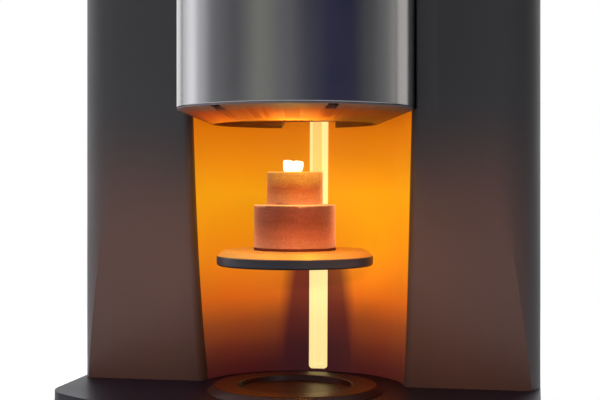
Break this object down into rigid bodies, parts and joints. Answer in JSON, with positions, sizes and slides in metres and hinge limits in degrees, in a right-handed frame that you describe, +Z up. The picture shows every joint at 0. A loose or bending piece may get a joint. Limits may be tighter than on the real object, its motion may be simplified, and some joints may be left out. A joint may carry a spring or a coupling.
{
  "type": "dental lab furnace",
  "caption": "Chairside sintering furnace with a rounded head, a lit niche and a lift that carries a round platform up into an induction heated chamber.",
  "frame": {"origin": "on the table, under the middle of the housing", "axes": "+Z up, +X to the viewer's right from the front, +Y towards the back"},
  "size_m": [0.3, 0.45, 0.57],
  "materials": {
    "dark_shell": "satin metallic",
    "silver_shell": "satin metallic",
    "amber_liner": "satin",
    "lit_strip": "lit diffuser",
    "lamp": "lit diffuser",
    "plate_metal": "fine turned",
    "seat_dark": "matt",
    "firing_ceramic": "fine pored",
    "crown_ceramic": "satin",
    "fibre": "fibrous",
    "susceptor_dark": "matt",
    "former": "matt",
    "copper": "drawn",
    "bronze": "machined",
    "steel": "ground",
    "zinc_sheet": "plated",
    "alloy": "milled",
    "rubber": "matt",
    "black_plastic": "fine grain",
    "display": "polished",
    "board": "solder mask",
    "motor_black": "satin",
    "rocker_red": "moulded"
  },
  "bodies": {
    "root": {"rubber_feet": "rubber", "base_pan": "zinc_sheet", "plinth_cover": "dark_shell", "landing_ring": "dark_shell", "left_wing": "dark_shell", "right_wing": "dark_shell", "hood": "dark_shell", "rear_cover": "dark_shell", "cover_screws": "steel", "wall_buffers": "rubber", "niche_liner": "amber_liner", "light_guide": "lit_strip", "led_board": "board", "niche_lamps": "lamp", "head_cover": "silver_shell", "head_underside": "silver_shell", "carrier_plate": "steel", "display_frame": "black_plastic", "touch_display": "display", "control_board": "board", "mouth_insulation": "fibre", "jacket_insulation": "fibre", "lid_insulation": "fibre", "susceptor": "susceptor_dark", "coil_former": "former", "induction_coil": "copper", "coil_terminals": "copper", "muffle_casing": "zinc_sheet", "pyrometer": "steel", "bulkhead": "zinc_sheet", "side_frames": "zinc_sheet", "electronics_deck": "zinc_sheet", "guide_rods": "steel", "lower_bearing_block": "alloy", "upper_bearing_block": "alloy", "motor_bracket": "zinc_sheet", "stepper_motor": "motor_black", "power_supply": "zinc_sheet", "generator_heat_sink": "alloy", "generator_board": "board", "rear_fan_frame": "black_plastic", "fan_grille": "steel", "power_entry": "black_plastic"},
    "lift": {"lift_mast": "steel", "lift_arm": "steel", "loading_plate": "plate_metal", "seat_ring": "seat_dark", "lower_block": "firing_ceramic", "upper_block": "firing_ceramic", "sample_crown": "crown_ceramic", "lift_carriage": "alloy", "guide_bushings": "bronze", "lift_nut": "bronze"},
    "screw": {"lead_screw": "steel", "shaft_coupling": "alloy"},
    "fan": {"rear_fan_rotor": "black_plastic"},
    "rocker": {"mains_rocker": "rocker_red"},
    "drawer": {"fuse_drawer": "black_plastic"}
  },
  "joints": [
    {"name": "lift_slide", "type": "slide", "parent": "root", "child": "lift", "axis": [0, 0, 1], "range_m": [-0.0733, 0.0811]},
    {"name": "screw_spin", "type": "hinge", "parent": "root", "child": "screw", "pos_m": [0, -0.042, 0.35], "axis": [0, 0, 1], "range_deg": [-3700, 3700]},
    {"name": "fan_spin", "type": "hinge", "parent": "root", "child": "fan", "pos_m": [0, 0.2, 0.4], "axis": [0, 1, 0], "continuous": true},
    {"name": "rocker_tip", "type": "hinge", "parent": "root", "child": "rocker", "pos_m": [0.107, 0.2155, 0.112], "axis": [1, 0, 0], "range_deg": [-18, 0]},
    {"name": "drawer_slide", "type": "slide", "parent": "root", "child": "drawer", "axis": [0, 1, 0], "range_m": [0, 0.015]}
  ],
  "couplings": [
    {"joint": "screw_spin", "follows": "lift_slide", "rad_per_m": -785.4}
  ]
}
